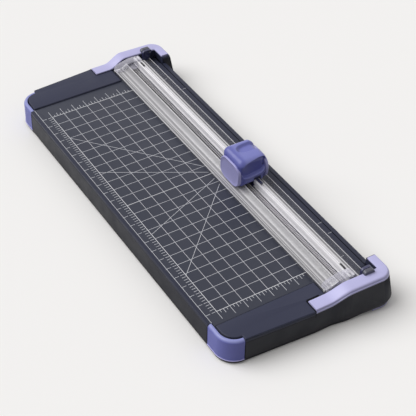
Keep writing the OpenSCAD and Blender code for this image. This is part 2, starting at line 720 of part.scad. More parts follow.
// Headed pins on the shoe that guide the carriage as it is pressed
module guide_pins() color("#b9bac0") translate([0, carriage_y, 0]) for (x = [guide_pin_x0, guide_pin_x1]) {
  post(x, 0, shoe_z, holder_z + holder_t + gap, guide_pin_r);
  post(x, 0, holder_z + holder_t + gap, holder_z + holder_t + gap + screw_head_h, screw_head_r - gap);
}

// Coil spring round a guide pin: six-sided wire along a helix that ends flat
module coil(x) let (steps = spring_turns * coil_steps, sides = coil_sides,
  rise = holder_z - shoe_top_z - spring_wire)
  translate([x, carriage_y, shoe_top_z + spring_wire / 2]) polyhedron(
    points = [for (k = [0:steps], j = [0:sides - 1]) let (a = 360 * k / coil_steps, b = 360 * j / sides,
      r = spring_r + spring_wire / 2 * cos(b))
      [r * cos(a), r * sin(a), rise * k / steps + spring_wire / 2 * sin(b)]],
    faces = concat([[for (j = [0:sides - 1]) j]], [[for (j = [sides - 1:-1:0]) steps * sides + j]],
      [for (k = [0:steps - 1], j = [0:sides - 1]) let (n = (j + 1) % sides)
        [k * sides + j, (k + 1) * sides + j, (k + 1) * sides + n, k * sides + n]]), convexity = 10);

module press_springs() color("#c4c5ca") {
  coil(guide_pin_x0);
  coil(guide_pin_x1);
}

// Round-edged block of the shell's outer form
module shell_form(inset, z0, z1) let (w = shell_w / 2 - inset, l = shell_l / 2 - inset,
  r = shell_edge_r, top = z1) intersection() {
  along_y(-l, l) polygon(concat([[shell_x - w, z0], [shell_x + w, z0]],
    arc(shell_x + w - r, top - r, r, 0, 90), arc(shell_x - w + r, top - r, r, 90, 180)));
  translate([shell_x - w, 0, 0]) rotate([90, 0, 90]) linear_extrude(height = 2 * w)
    polygon(concat([[-l, z0], [l, z0]], arc(l - r, top - r, r, 0, 90), arc(r - l, top - r, r, 90, 180)));
  layer(concat(arc(shell_x + w - r, l - r, r, 0, 90), arc(shell_x - w + r, l - r, r, 90, 180),
    arc(shell_x - w + r, r - l, r, 180, 270), arc(shell_x + w - r, r - l, r, 270, 360)), z0, z1);
}

// Hollow shell with finger scoops in its two ends and a shallow thumb scoop on top
module carriage_shell() color("#6a6cb8") translate([0, carriage_y, 0]) difference() {
  shell_form(0, shell_z0, shell_z1);
  intersection() {
    block(shell_x - shell_w / 2 + shell_wall, shell_x + shell_w / 2 - shell_wall, -base_l, base_l,
      shell_z0 - over, cavity_top);
    union() {
      block(-base_w, base_w, -shoe_l / 2 - gap, shoe_l / 2 + gap, shell_z0 - over, cavity_z);
      block(-base_w, base_w, -blade_r - gap, blade_r + gap, cavity_z - fit, shell_z1);
    }
  }
  block(slot_x0 - slot_rib_w - notch_in, slot_x1 + track_w + notch_in, -base_l, base_l, shell_z0 - over,
    notch_z);
  both_ends() pin_x(shell_x - scoop_w / 2, shell_x + scoop_w / 2, shell_l / 2 + scoop_r - scoop_d,
    (shell_z0 + shell_z1) / 2 + scoop_lift, scoop_r);
  pin_x(shell_x - thumb_w / 2, shell_x + thumb_w / 2, thumb_y, shell_z1 + thumb_r - thumb_d, thumb_r);
  for (p = shell_posts) post(p[0], p[1], shell_z0, cavity_top + shell_wall, screw_r);
}

// Side plate with rounded corners, drawn in Y and Z
module side_plate(x0) let (l = side_plate_l / 2, z0 = deck_h + side_plate_low, z1 = deck_h + side_plate_top,
  r = plate_corner_r) translate([x0, carriage_y, 0]) rotate([90, 0, 90])
  linear_extrude(height = side_plate_t) polygon(concat(arc(l - r, z1 - r, r, 0, 90),
    arc(r - l, z1 - r, r, 90, 180), arc(r - l, z0 + r, r, 180, 270), arc(l - r, z0 + r, r, 270, 360)));

module left_side_plate() color("#8f8dba") side_plate(shell_x - shell_w / 2 - side_plate_t);
module right_side_plate() color("#8f8dba") side_plate(shell_x + shell_w / 2);

// Holder inside the shell: a top plate on the guide pins and two cheeks for the axle
module blade_holder() color("#2e2f36") translate([0, carriage_y, 0]) difference() {
  union() {
    block(shell_x - shell_w / 2 + shell_wall, shell_x + shell_w / 2 - shell_wall, -blade_r - gap,
      blade_r + gap, holder_z, holder_z + holder_t);
    for (x = [left_cheek_x1 - left_cheek_t, right_cheek_x0])
      let (t = x < cut_x ? left_cheek_t : right_cheek_t) {
        block(x, x + t, -cheek_l / 2, cheek_l / 2, blade_z, holder_z + fit);
        pin_x(x, x + t, 0, blade_z, cheek_end_r);
      }
    for (p = shell_posts) post(p[0], p[1], holder_z, cavity_top, shell_post_r);
  }
  block(left_cheek_x1, right_cheek_x0, gap - blade_r, blade_r - gap, holder_z - over,
    holder_z + holder_t + over);
  for (x = [guide_pin_x0, guide_pin_x1]) post(x, 0, holder_z - over, holder_z + holder_t + over,
    guide_pin_r + fit);
  pin_x(left_cheek_x1 - left_cheek_t - over, right_cheek_x0 + right_cheek_t + over, 0, blade_z, axle_r);
  for (p = shell_posts) post(p[0], p[1], holder_z - over, cavity_top + over, screw_r);
}

module blade_axle() color("#b9bac0")
  pin_x(left_cheek_x1 - left_cheek_t, right_cheek_x0 + right_cheek_t, carriage_y, blade_z, axle_r);

// Screws that hold the shell on its blade holder
module shell_screws() color("#9a9a9e") translate([0, carriage_y, 0]) for (p = shell_posts) {
  post(p[0], p[1], holder_z - screw_head_h, holder_z, screw_head_r);
  post(p[0], p[1], holder_z, cavity_top + shell_wall - gap, screw_r);
}

// Round blade with a bevel on each side of its edge
module blade_wheel() color("#d5d7db") translate([cut_x, carriage_y, blade_z]) rotate([0, 90, 0])
  rotate_extrude($fn = 2 * round_steps) polygon([[hub_r - blade_seat, -blade_t / 2],
    [blade_r - bevel_w, -blade_t / 2], [blade_r, 0], [blade_r - bevel_w, blade_t / 2],
    [hub_r - blade_seat, blade_t / 2]]);

// Hub in two halves about the blade, free to turn on the axle
module blade_hub() color("#3c3d45") difference() {
  pin_x(cut_x - hub_l / 2, cut_x + hub_l / 2, carriage_y, blade_z, hub_r);
  pin_x(cut_x - hub_l, cut_x + hub_l, carriage_y, blade_z, axle_r + fit);
  difference() {
    pin_x(cut_x - blade_t / 2, cut_x + blade_t / 2, carriage_y, blade_z, hub_r + over);
    pin_x(cut_x - blade_t, cut_x + blade_t, carriage_y, blade_z, hub_r - blade_seat);
  }
}

base_tub();
top_cover();
grid_panel();
color("#43465e") end_slab(far_seam);  // far_end_slab
color("#43465e") at_end(-1) end_slab(near_seam);  // near_end_slab
color("#6f72c0") bumper();  // far_left_bumper
color("#6f72c0") at_end(-1) bumper();  // near_left_bumper
color("#c5c2ea") bracket();  // far_bracket
color("#c5c2ea") at_end(-1) bracket();  // near_bracket
color("#c5c2ea")  // far_corner_lip
  corner_lip_shape(skirt_gap, skirt_gap + corner_lip_h);
color("#c5c2ea") at_end(-1)  // near_corner_lip
  corner_lip_shape(skirt_gap, skirt_gap + corner_lip_h);
cutting_strip();
color("#2a2b33") hinge_block();  // far_hinge_block
color("#2a2b33") at_end(-1) hinge_block();  // near_hinge_block
color("#b9bac0") hinge_pin();  // far_hinge_pin
color("#b9bac0") at_end(-1) hinge_pin();  // near_hinge_pin
rubber_feet();
base_screws();
bracket_screws();
clamp_bar();
guide_rail();
color("#d6d6dc") rail_cap();  // far_rail_cap
color("#d6d6dc") at_end(-1) rail_cap();  // near_rail_cap
color("#70717c") knuckle();  // far_knuckle
color("#70717c") at_end(-1) knuckle();  // near_knuckle
grip_strip();
track_plugs();
cap_screws();
slide_shoe();
guide_pins();
press_springs();
carriage_shell();
left_side_plate();
right_side_plate();
blade_holder();
blade_axle();
shell_screws();
blade_wheel();
blade_hub();
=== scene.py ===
"""Paper trimmer: a flat base with a printed grid, a clear rail on two hinges and a sliding carriage."""

import math

import bmesh
import bpy
import numpy as np
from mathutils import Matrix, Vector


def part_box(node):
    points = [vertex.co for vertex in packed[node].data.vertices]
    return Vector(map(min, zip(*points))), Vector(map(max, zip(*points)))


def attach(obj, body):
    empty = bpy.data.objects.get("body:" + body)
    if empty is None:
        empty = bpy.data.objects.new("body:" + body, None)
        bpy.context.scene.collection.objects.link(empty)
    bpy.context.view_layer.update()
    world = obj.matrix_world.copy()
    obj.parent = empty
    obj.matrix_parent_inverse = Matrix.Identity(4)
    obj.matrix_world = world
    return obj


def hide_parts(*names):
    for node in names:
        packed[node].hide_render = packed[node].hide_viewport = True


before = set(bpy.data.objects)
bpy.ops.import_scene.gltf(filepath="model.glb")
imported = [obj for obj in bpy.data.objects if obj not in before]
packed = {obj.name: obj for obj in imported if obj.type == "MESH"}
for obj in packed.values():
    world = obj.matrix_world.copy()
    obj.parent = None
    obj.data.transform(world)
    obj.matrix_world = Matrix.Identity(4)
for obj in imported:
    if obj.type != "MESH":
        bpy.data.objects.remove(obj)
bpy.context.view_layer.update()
scene = bpy.context.scene

# Camera, lamps and floor. The camera stands at the near left of the trimmer, as in the photograph.
# A soft key from the far left and above leaves the near wall in shade, and a pale floor takes the
# shadow. What the lens, a gloss or a clear part sees of floor and room is pale, and they light little.
lens = bpy.data.cameras.new("camera")
lens.lens, lens.sensor_width, lens.clip_end = 103.154, 36, 20
camera = bpy.data.objects.new("camera", lens)
camera.location = (-0.438359, -0.723330, 0.738231)
camera.rotation_euler = [math.radians(a) for a in (48.491666, -0.939693, -31.650508)]
scene.collection.objects.link(camera)
scene.camera = camera
scene.view_settings.view_transform = "Standard"


def lamp(name, kind, direction, strength, spread):
    """A lamp that shines from a direction, given as the way from the trimmer towards it."""
    light = bpy.data.lights.new(name, kind)
    light.energy, light.angle = strength, spread
    thing = bpy.data.objects.new(name, light)
    away = np.array(direction, float)
    thing.location = away / np.linalg.norm(away) * 2
    thing.rotation_euler = thing.location.to_track_quat("Z", "Y").to_euler()
    scene.collection.objects.link(thing)


lamp("key", "SUN", (-0.55, 0.42, 0.80), 2.1, 0.9)


def seen_rays(tree):
    """A mask that is 1 for what the lens, a gloss or a clear part sees, and 0 for light on matt faces."""
    path = tree.nodes.new("ShaderNodeLightPath")
    mask = path.outputs["Is Camera Ray"]
    for way in ("Is Glossy Ray", "Is Transmission Ray"):
        either = tree.nodes.new("ShaderNodeMath")
        either.operation = "MAXIMUM"
        tree.links.new(mask, either.inputs[0])
        tree.links.new(path.outputs[way], either.inputs[1])
        mask = either.outputs[0]
    return mask


def two_colours(tree, mask, first, second):
    """The first colour where the mask is 0, and the second where it is 1."""
    mix = tree.nodes.new("ShaderNodeMix")
    mix.data_type = "RGBA"
    mix.inputs["A"].default_value, mix.inputs["B"].default_value = (*first, 1), (*second, 1)
    tree.links.new(mask, mix.inputs["Factor"])
    return mix.outputs["Result"]


room = bpy.data.worlds.new("room")
room.use_nodes = True
scene.world = room
tree = room.node_tree
way, height = tree.nodes.new("ShaderNodeTexCoord"), tree.nodes.new("ShaderNodeSeparateXYZ")
tree.links.new(way.outputs["Generated"], height.inputs[0])
ceiling = two_colours(tree, height.outputs["Z"], (0.04, 0.04, 0.045), (0.66, 0.655, 0.65))
shown = tree.nodes.new("ShaderNodeMix")
shown.data_type = "RGBA"
shown.inputs["B"].default_value = (0.905, 0.895, 0.885, 1)
tree.links.new(seen_rays(tree), shown.inputs["Factor"])
tree.links.new(ceiling, shown.inputs["A"])
tree.links.new(shown.outputs["Result"], tree.nodes["Background"].inputs["Color"])

floor_half, floor_z = 4, -1e-4
floor_finish = bpy.data.materials.new("floor")
floor_finish.use_nodes = True
tree = floor_finish.node_tree
tree.links.new(two_colours(tree, seen_rays(tree), (0.13, 0.13, 0.13), (0.93, 0.92, 0.91)),
               tree.nodes["Principled BSDF"].inputs["Base Color"])
tree.nodes["Principled BSDF"].inputs["Roughness"].default_value = 1
tree.nodes["Principled BSDF"].inputs["Specular IOR Level"].default_value = 0
sheet = bpy.data.meshes.new("floor")
corners = [(-floor_half, -floor_half), (floor_half, -floor_half), (floor_half, floor_half),
           (-floor_half, floor_half)]
sheet.from_pydata([(x, y, floor_z) for x, y in corners], [], [(0, 1, 2, 3)])
sheet.materials.append(floor_finish)
floor = bpy.data.objects.new("floor", sheet)
scene.collection.objects.link(floor)

# Base tub: the trimmer's moulded bottom of charcoal ABS, with its floor, walls and end skirts.
# The tool's spark-eroded skin leaves a fine grain on it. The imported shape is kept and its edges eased.
MM = 0.001


def colour(code):
    """The linear colour of six hex digits: the lowest tenth is a straight line, the rest a power of 2.4."""
    v = np.array([int(code[i:i + 2], 16) for i in (0, 2, 4)]) / 255
    return [*np.where(v <= 0.04045, v / 12.92, ((v + 0.055) / 1.055) ** 2.4).tolist(), 1.0]


def skin_texture():
    """Moulded skin as a node group: fine noise for its bumps, slow noise for gloss, slower for its tint."""
    group = bpy.data.node_groups.new("moulded_skin", "ShaderNodeTree")
    for name, kind, value in (("Colour", "NodeSocketColor", (0.5, 0.5, 0.5, 1)),
                              ("Grains per metre", "NodeSocketFloat", 2600.0),
                              ("Depth", "NodeSocketFloat", 0.2), ("Gloss low", "NodeSocketFloat", 0.35),
                              ("Gloss high", "NodeSocketFloat", 0.5), ("Tint", "NodeSocketFloat", 0.06)):
        group.interface.new_socket(name, in_out="INPUT", socket_type=kind).default_value = value
    for name, kind in (("Colour", "NodeSocketColor"), ("Roughness", "NodeSocketFloat"),
                       ("Normal", "NodeSocketVector")):
        group.interface.new_socket(name, in_out="OUTPUT", socket_type=kind)
    add, join = group.nodes.new, group.links.new
    given, out = add("NodeGroupInput"), add("NodeGroupOutput")
    place = add("ShaderNodeTexCoord").outputs["Object"]
    noises = []
    for scale, detail in ((1.0, 2.0), (70.0, 4.0), (16.0, 3.0)):
        noise = add("ShaderNodeTexNoise")
        noise.inputs["Scale"].default_value, noise.inputs["Detail"].default_value = scale, detail
        join(place, noise.inputs["Vector"])
        noises.append(noise)
    grain, cloud, drift = noises
    join(given.outputs["Grains per metre"], grain.inputs["Scale"])
    bump = add("ShaderNodeBump")
    bump.inputs["Distance"].default_value = 0.05 * MM
    join(grain.outputs["Fac"], bump.inputs["Height"])
    join(given.outputs["Depth"], bump.inputs["Strength"])
    join(bump.outputs["Normal"], out.inputs["Normal"])
    gloss = add("ShaderNodeMapRange")
    gloss.inputs["From Min"].default_value, gloss.inputs["From Max"].default_value = 0.3, 0.7
    join(cloud.outputs["Fac"], gloss.inputs["Value"])
    join(given.outputs["Gloss low"], gloss.inputs["To Min"])
    join(given.outputs["Gloss high"], gloss.inputs["To Max"])
    join(gloss.outputs["Result"], out.inputs["Roughness"])
    centred = add("ShaderNodeMath")
    centred.operation, centred.inputs[1].default_value = "SUBTRACT", 0.5
    join(drift.outputs["Fac"], centred.inputs[0])
    swing = add("ShaderNodeMath")
    swing.operation, swing.inputs[2].default_value = "MULTIPLY_ADD", 1.0
    join(centred.outputs[0], swing.inputs[0])
    join(given.outputs["Tint"], swing.inputs[1])
    shade = add("ShaderNodeVectorMath")
    shade.operation = "SCALE"
    join(given.outputs["Colour"], shade.inputs[0])
    join(swing.outputs[0], shade.inputs["Scale"])
    join(shade.outputs["Vector"], out.inputs["Colour"])
    return group


moulded_skin = skin_texture()


def plastic(name, code, low, high, grains=2600.0, depth=0.2, tint=0.12, **sockets):
    """A plastic with the moulded skin. The other values are set on the shader's own sockets."""
    finish = bpy.data.materials.new(name)
    finish.use_nodes = True
    tree = finish.node_tree
    shader = tree.nodes["Principled BSDF"]
    skin = tree.nodes.new("ShaderNodeGroup")
    skin.node_tree = moulded_skin
    for socket, value in (("Colour", colour(code)), ("Grains per metre", grains), ("Depth", depth),
                          ("Gloss low", low), ("Gloss high", high), ("Tint", tint)):
        skin.inputs[socket].default_value = value
    for start, end in (("Colour", "Base Color"), ("Roughness", "Roughness"), ("Normal", "Normal")):
        tree.links.new(skin.outputs[start], shader.inputs[end])
    for socket, value in sockets.items():
        shader.inputs[socket.replace("_", " ")].default_value = value
    return finish


def settle(piece, body, *stands_for):
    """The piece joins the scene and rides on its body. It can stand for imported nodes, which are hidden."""
    scene.collection.objects.link(piece)
    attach(piece, body)
    if stands_for:
        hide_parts(*stands_for)
    return piece


flat_fold, edge_fold = math.radians(0.4), math.radians(28)


def eased(node, body, width, finish, steps=2):
    """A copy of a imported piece: doubles merged, flat faces joined, and its folded edges rounded off."""
    work = bmesh.new()
    work.from_mesh(packed[node].data)
    bmesh.ops.remove_doubles(work, verts=work.verts, dist=0.001 * MM)
    bmesh.ops.dissolve_limit(work, angle_limit=flat_fold, verts=work.verts, edges=work.edges)
    mesh = bpy.data.meshes.new("eased_" + node)
    work.to_mesh(mesh)
    work.free()
    mesh.materials.clear()
    mesh.materials.append(finish)
    mesh.polygons.foreach_set("material_index", np.zeros(len(mesh.polygons), np.int32))
    mesh.polygons.foreach_set("use_smooth", np.ones(len(mesh.polygons), bool))
    piece = bpy.data.objects.new("eased_" + node, mesh)
    edges = piece.modifiers.new("edges", "BEVEL")
    edges.width, edges.segments, edges.limit_method = width * MM, steps, "ANGLE"
    edges.angle_limit, edges.harden_normals, edges.use_clamp_overlap = edge_fold, True, False
    return settle(piece, body, node)


def coat(node, finish):
    """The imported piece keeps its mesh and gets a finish."""
    packed[node].data.materials.clear()
    packed[node].data.materials.append(finish)


charcoal = plastic("charcoal_abs", "27282f", 0.46, 0.6, depth=0.35, Specular_IOR_Level=0.25)
eased("base_tub", "base", 0.5, charcoal)

# Feet and screws of the base. Four round rubber feet are pressed into the floor at the corners, and
# plated self-tapping screws hold the cover and the brackets from below.


def metal(name, code, low, high, stretch=(1.0, 1.0, 1.0), lines=900.0, depth=0.15):
    """A plated or ground metal: noise drawn out along the way it was worked varies bumps and gloss."""
    finish = bpy.data.materials.new(name)
    finish.use_nodes = True
    tree = finish.node_tree
    shader = tree.nodes["Principled BSDF"]
    shader.inputs["Metallic"].default_value = 1
    place, turn = tree.nodes.new("ShaderNodeTexCoord"), tree.nodes.new("ShaderNodeMapping")
    turn.inputs["Scale"].default_value = stretch
    tree.links.new(place.outputs["Object"], turn.inputs["Vector"])
    noise = tree.nodes.new("ShaderNodeTexNoise")
    noise.inputs["Scale"].default_value, noise.inputs["Detail"].default_value = lines, 3
    tree.links.new(turn.outputs["Vector"], noise.inputs["Vector"])
    gloss = tree.nodes.new("ShaderNodeMapRange")
    gloss.inputs["To Min"].default_value, gloss.inputs["To Max"].default_value = low, high
    tree.links.new(noise.outputs["Fac"], gloss.inputs["Value"])
    tree.links.new(gloss.outputs["Result"], shader.inputs["Roughness"])
    dark, light = (np.array(colour(code)[:3]) * f for f in (0.86, 1.0))
    tree.links.new(two_colours(tree, noise.outputs["Fac"], dark, light), shader.inputs["Base Color"])
    bump = tree.nodes.new("ShaderNodeBump")
    bump.inputs["Distance"].default_value, bump.inputs["Strength"].default_value = 0.02 * MM, depth
    tree.links.new(noise.outputs["Fac"], bump.inputs["Height"])
    tree.links.new(bump.outputs["Normal"], shader.inputs["Normal"])
    return finish


foot_rubber = plastic("foot_rubber", "1b1b1d", 0.7, 0.85, grains=1400, depth=0.5)
eased("rubber_feet", "base", 0.4, foot_rubber)
plated = metal("plated_steel", "b4b4ba", 0.22, 0.38)
for node in ("base_screws", "bracket_screws", "cap_screws", "shell_screws"):
    coat(node, plated)

# Top cover: one navy moulding that closes the tub, with the deck right of the rail and a low rounded
# rim along the left side. It snaps over the tub's wall and is screwed from below.
navy = plastic("navy_abs", "2b2e3f", 0.42, 0.55, depth=0.3, Specular_IOR_Level=0.25)
eased("top_cover", "base", 0.6, navy, steps=3)

# Grid panel: a thin satin plate of dark grey laid into the cover, with a screen-printed grid of half
# inches, rulers at both ends, and diagonals for photograph and card sizes. The ink stands a hair proud.
# Lines are given in mm from the grid's far left crossing.
panel_grey = plastic("panel_grey", "363946", 0.4, 0.52, grains=3200, depth=0.25,
                     Specular_IOR_Level=0.3)
eased("grid_panel", "base", 0.12, panel_grey)
cell, rows, columns = 12.7, 25, 7
middle_row, line_end = (rows - 1) // 2, 105
deck_z, ink_x, ink_y, ink_lift = 26.0, -67.25, 147.9, 0.02


def strokes(lines, width, low, high):
    """Flat bars in mm: each line's two ends move half the width to each side, at two heights. Bars that
    run across stand a few microns higher, so that no two tops share a plane where they cross."""
    lines = np.asarray(lines, float).reshape(-1, 2, 2)
    run = lines[:, 1] - lines[:, 0]
    run /= np.linalg.norm(run, axis=1, keepdims=True)
    side = np.stack([-run[:, 1], run[:, 0]], 1)[:, None] * width / 2
    flat = np.concatenate([lines + side, (lines - side)[:, ::-1]], 1)
    above = 0.006 * (np.abs(run[:, :1]) > np.abs(run[:, 1:]))
    points = np.stack([np.dstack([flat, np.full(flat.shape[:2], z) + above]) for z in (low, high)], 1)
    ring = [(3, 2, 1, 0), (4, 5, 6, 7)] + [(i, (i + 1) % 4, (i + 1) % 4 + 4, i + 4) for i in range(4)]
    faces = np.array(ring)[None] + 8 * np.arange(len(lines))[:, None, None]
    return points.reshape(-1, 3), faces.reshape(-1, 4)


def formed(name, points, faces, finish, body, *stands_for, sharp=40):
    """A piece from points in mm. Normals are turned outwards, and folds over the sharp angle stay crisp."""
    mesh = bpy.data.meshes.new(name)
    mesh.from_pydata((np.asarray(points) * MM).tolist(), [], [list(f) for f in faces])
    work = bmesh.new()
    work.from_mesh(mesh)
    bmesh.ops.recalc_face_normals(work, faces=work.faces)
    work.to_mesh(mesh)
    work.free()
    mesh.materials.append(finish)
    mesh.polygons.foreach_set("use_smooth", np.ones(len(mesh.polygons), bool))
    mesh.set_sharp_from_angle(angle=math.radians(sharp))
    return settle(bpy.data.objects.new(name, mesh), body, *stands_for)


def across(xs, y0, y1):
    """Lines along Y at each x of a list, from y0 to y1."""
    xs = np.asarray(xs, float)
    return np.stack([np.stack([xs, np.full_like(xs, y0)], 1), np.stack([xs, np.full_like(xs, y1)], 1)], 1)


def along(ys, x0, x1):
    """Lines along X at each y of a list, from x0 to x1."""
    return across(ys, x0, x1)[:, :, ::-1]


def ruler(base, way):
    """A ruler's marks at y = base that point way: quarters of a cell short, halves longer, cells longest."""
    at = np.arange(0, columns * 4) * cell / 4
    full, half = np.arange(at.size) % 4 == 0, np.arange(at.size) % 4 == 2
    marks = ((full, 9.4), (half, 4.8), (~full & ~half, 2.9))
    return np.concatenate([across(at[chosen], base, base + length * way) for chosen, length in marks])


bottom = -cell * (rows - 1)
side_ticks = np.arange(0, (rows - 1) * 4 + 1) * -cell / 4
thin_rows = np.array([row for row in range(1, rows - 1) if row != middle_row])
fine = np.concatenate([
    across(np.arange(1, columns) * cell, 0, bottom), along(thin_rows * -cell, 0, line_end),
    along(side_ticks, -4.6, -0.9), along(np.arange(rows) * -cell, -11, -6),
    ruler(bottom, -1), ruler(0, 1), across([-10.5], 19, -314),
    [[(0, a), (88, b)] for a, b in ((-38, -139), (-98, -149.5), (-197, -160), (-256, -169))]])
bold_rows = np.array([0, middle_row, rows - 1])
bold = np.concatenate([across([0], 0, bottom), along(bold_rows * -cell, 0, line_end)])
faint = np.concatenate([along([0, bottom], 118.5, 130), along([-24, -260, -275], 134.5, 138.5)])
white_ink = plastic("white_ink", "cccdd3", 0.5, 0.6, grains=5000, depth=0.1, tint=0.3)
bright_ink = plastic("bright_ink", "dedfe3", 0.5, 0.6, grains=5000, depth=0.1, tint=0.2)
prints = (("fine_print", fine, 0.39, white_ink), ("bold_print", bold, 0.5, bright_ink),
          ("deck_print", faint, 0.3, white_ink))
for name, lines, width, ink in prints:
    points, faces = strokes(lines + [ink_x, ink_y], width, deck_z - ink_lift, deck_z + ink_lift)
    formed(name, points, faces, ink, "base")

# End slabs: flat raised pads of navy at both ends, which butt on the brackets and bumpers. Their rims
# are rounded over, and a dark strip lies between each slab and the panel: the seam, and painted shade of the
# slab's step. Near pieces mirror far ones.
slab_navy = plastic("slab_navy", "323549", 0.42, 0.55, depth=0.3, Specular_IOR_Level=0.25)
near_side = np.array([1, -1, 1])
gap_black = plastic("gap_black", "121318", 0.6, 0.7, Specular_IOR_Level=0.1)
joint_width = 0.8
# Painted shade: a dark strip along the foot of each slab's step, over the seam with the panel.
slab_seam_shade = [[(-77.0, 170.6), (20.0, 170.6)]]
for node, flip in (("far_end_slab", 1), ("near_end_slab", near_side)):
    eased(node, "base", 1.1, slab_navy, steps=3)
    points, faces = strokes(slab_seam_shade, joint_width, deck_z - 0.1, deck_z + 0.03)
    formed("gap_of_" + node, points * flip, faces, gap_black, "base")

# Bumpers: soft violet corners over the two left corners, pushed into a groove round the tub. Each is
# a quarter ring with a leg along the side, with a wide rounded top edge and a thin lip at the foot.
# Its crown is painted paler, a painted highlight where light falls on the top, and both its ends leave a
# dark joint in the wall.


def skinned(rings):
    """Points and faces of a skin over a stack of closed rings, with a flat face on the first and last."""
    count, size = rings.shape[:2]
    index = np.arange(count * size).reshape(count, size)
    turned = np.roll(index, -1, 1)
    sides = np.stack([index[:-1], turned[:-1], turned[1:], index[1:]], -1).reshape(-1, 4)
    return rings.reshape(-1, 3), [*sides.tolist(), index[0][::-1].tolist(), index[-1].tolist()]


def swept(path, outward, section):
    """Each ring is the section, given as distance inwards and height, set at a path point."""
    flat = path[:, None] - outward[:, None] * section[None, :, :1]
    return np.dstack([flat, np.broadcast_to(section[None, :, 1], flat.shape[:2])])


def turn(first, last, steps):
    """Unit vectors in a flat plane from one angle to another, in degrees."""
    angle = np.radians(np.linspace(first, last, steps))
    return np.stack([np.cos(angle), np.sin(angle)], 1)


bumper_r, bumper_x, bumper_y, leg_end = 17.9, -64.35, 178.5, 166.5
ring = turn(180, 90, 25)
leg = np.linspace(leg_end, bumper_y, 8, endpoint=False)
path = np.concatenate([np.stack([np.full_like(leg, bumper_x - bumper_r), leg], 1),
                       ring * bumper_r + [bumper_x, bumper_y]])
outward = np.concatenate([np.tile([-1.0, 0.0], (leg.size, 1)), ring])
over_edge = turn(180, 90, 9) * [2.5, 2.9] + [3.0, 23.4]
inner_edge = turn(90, 0, 4) * 0.4 + [3.7, 25.9]
section = np.concatenate([[[0.5, 4.2]], over_edge, inner_edge, [[4.1, 4.2]]])
lip = np.array([[1.8, 3.1], [0.3, 3.1], [0.0, 3.4], [0.0, 3.95], [0.2, 4.15], [1.8, 4.15]])


def painted_highlight_above(finish, low, high, code):
    """A painted highlight: the finish's colour turns into a paler one from one height in mm to another."""
    tree = finish.node_tree
    place, split = tree.nodes.new("ShaderNodeTexCoord"), tree.nodes.new("ShaderNodeSeparateXYZ")
    tree.links.new(place.outputs["Object"], split.inputs[0])
    rise = tree.nodes.new("ShaderNodeMapRange")
    rise.interpolation_type = "SMOOTHSTEP"
    rise.inputs["From Min"].default_value, rise.inputs["From Max"].default_value = low * MM, high * MM
    tree.links.new(split.outputs["Z"], rise.inputs["Value"])
    blend = tree.nodes.new("ShaderNodeMix")
    blend.data_type, blend.inputs["B"].default_value = "RGBA", colour(code)
    tree.links.new(rise.outputs["Result"], blend.inputs["Factor"])
    tree.links.new(tree.nodes["Group"].outputs["Colour"], blend.inputs["A"])
    tree.links.new(blend.outputs["Result"], tree.nodes["Principled BSDF"].inputs["Base Color"])


violet_rubber = plastic("violet_rubber", "7074c2", 0.36, 0.5, grains=2000, depth=0.4, tint=0.1)
# Painted highlight: the violet turns paler from 23.9 mm up to the crown.
painted_highlight_above(violet_rubber, 23.9, 25.8, "8d92cb")
lip_lavender = plastic("lip_rubber", "b9b6e2", 0.4, 0.5, tint=0.08)
bumper_joints = [[(-63.95, 195.7), (-63.95, 196.08)], [(-81.93, 166.1), (-81.5, 166.1)]]
for node, flip in (("far_left_bumper", 1), ("near_left_bumper", near_side)):
    points, faces = skinned(swept(path, outward, section) * flip)
    formed("soft_" + node, points, faces, violet_rubber, "base", node, sharp=50)
    points, faces = skinned(swept(path, outward, lip) * flip)
    formed("lip_of_" + node, points, faces, lip_lavender, "base")
    points, faces = strokes(bumper_joints, joint_width, 4.5, 23)
    formed("gap_of_" + node, points * flip, faces, gap_black, "base")

# Brackets: lavender covers over the two hinge corners, moulded hollow with a wall inside and screwed
# from below. A low flat tongue climbs a smooth slope to a raised hook. The crown is rounded, the skirt
# ends in a step above the tub, and a dark joint runs round the tongue and down the tub's wall.
hook_low, hook_high, slope_start, slope_length = 28.8, 35.8, 17.2, 20.0
tongue_x, corner_x, corner_y, inner_x, arm_end = 2.75, 69.25, 190.0, 72.35, 176.0
end_y, bow, outer_r, inner_r, fall_start, fall = 203, 7, 13, 1.5, 37.75, 1.4
skirt_drop, rim_drop, pod_end, lining_foot = 4.4, 1.7, 174.3, 23.1


def step(x):
    """0 below 0, 1 above 1, and 3x^2 - 2x^3 between."""
    x = np.clip(x, 0, 1)
    return x * x * (3 - 2 * x)


def slope(x):
    """How far up the bracket's slope x is, from 0 to 1."""
    return step((x - slope_start) / slope_length)


def end_line(x):
    """Where the base's bowed end is at x: a straight fall to the left corner and one more by the slope."""
    straight = np.clip((x - bumper_x) / (tongue_x - bumper_x), 0, 1)
    return end_y - bow * (1 - 0.65 * straight - 0.35 * slope(x))


tongue = np.linspace(tongue_x, corner_x, 60)
corner = turn(90, 0, 21)
down = np.linspace(corner_y, arm_end, 10)[1:]
outer = np.concatenate([np.stack([tongue, end_line(tongue)], 1),
                        (corner * outer_r + [corner_x, corner_y])[1:],
                        np.stack([np.full_like(down, corner_x + outer_r), down], 1)])
inward_x = np.linspace(tongue_x, inner_x - inner_r, tongue.size)
inner_down = np.linspace(corner_y - inner_r, arm_end, down.size + 1)[1:]
inner = np.concatenate([np.stack([inward_x, corner_y - 2 * (1 - slope(inward_x))], 1),
                        (corner * inner_r + [inner_x - inner_r, corner_y - inner_r])[1:],
                        np.stack([np.full_like(down, inner_x), inner_down], 1)])
top = hook_low + (hook_high - hook_low) * slope(outer[:, 0])
top -= fall * np.clip((outer[:, 0] - fall_start) / (corner_x + outer_r - fall_start), 0, 1)
reach = np.linalg.norm(inner - outer, axis=1, keepdims=True)
inwards = (inner - outer) / reach


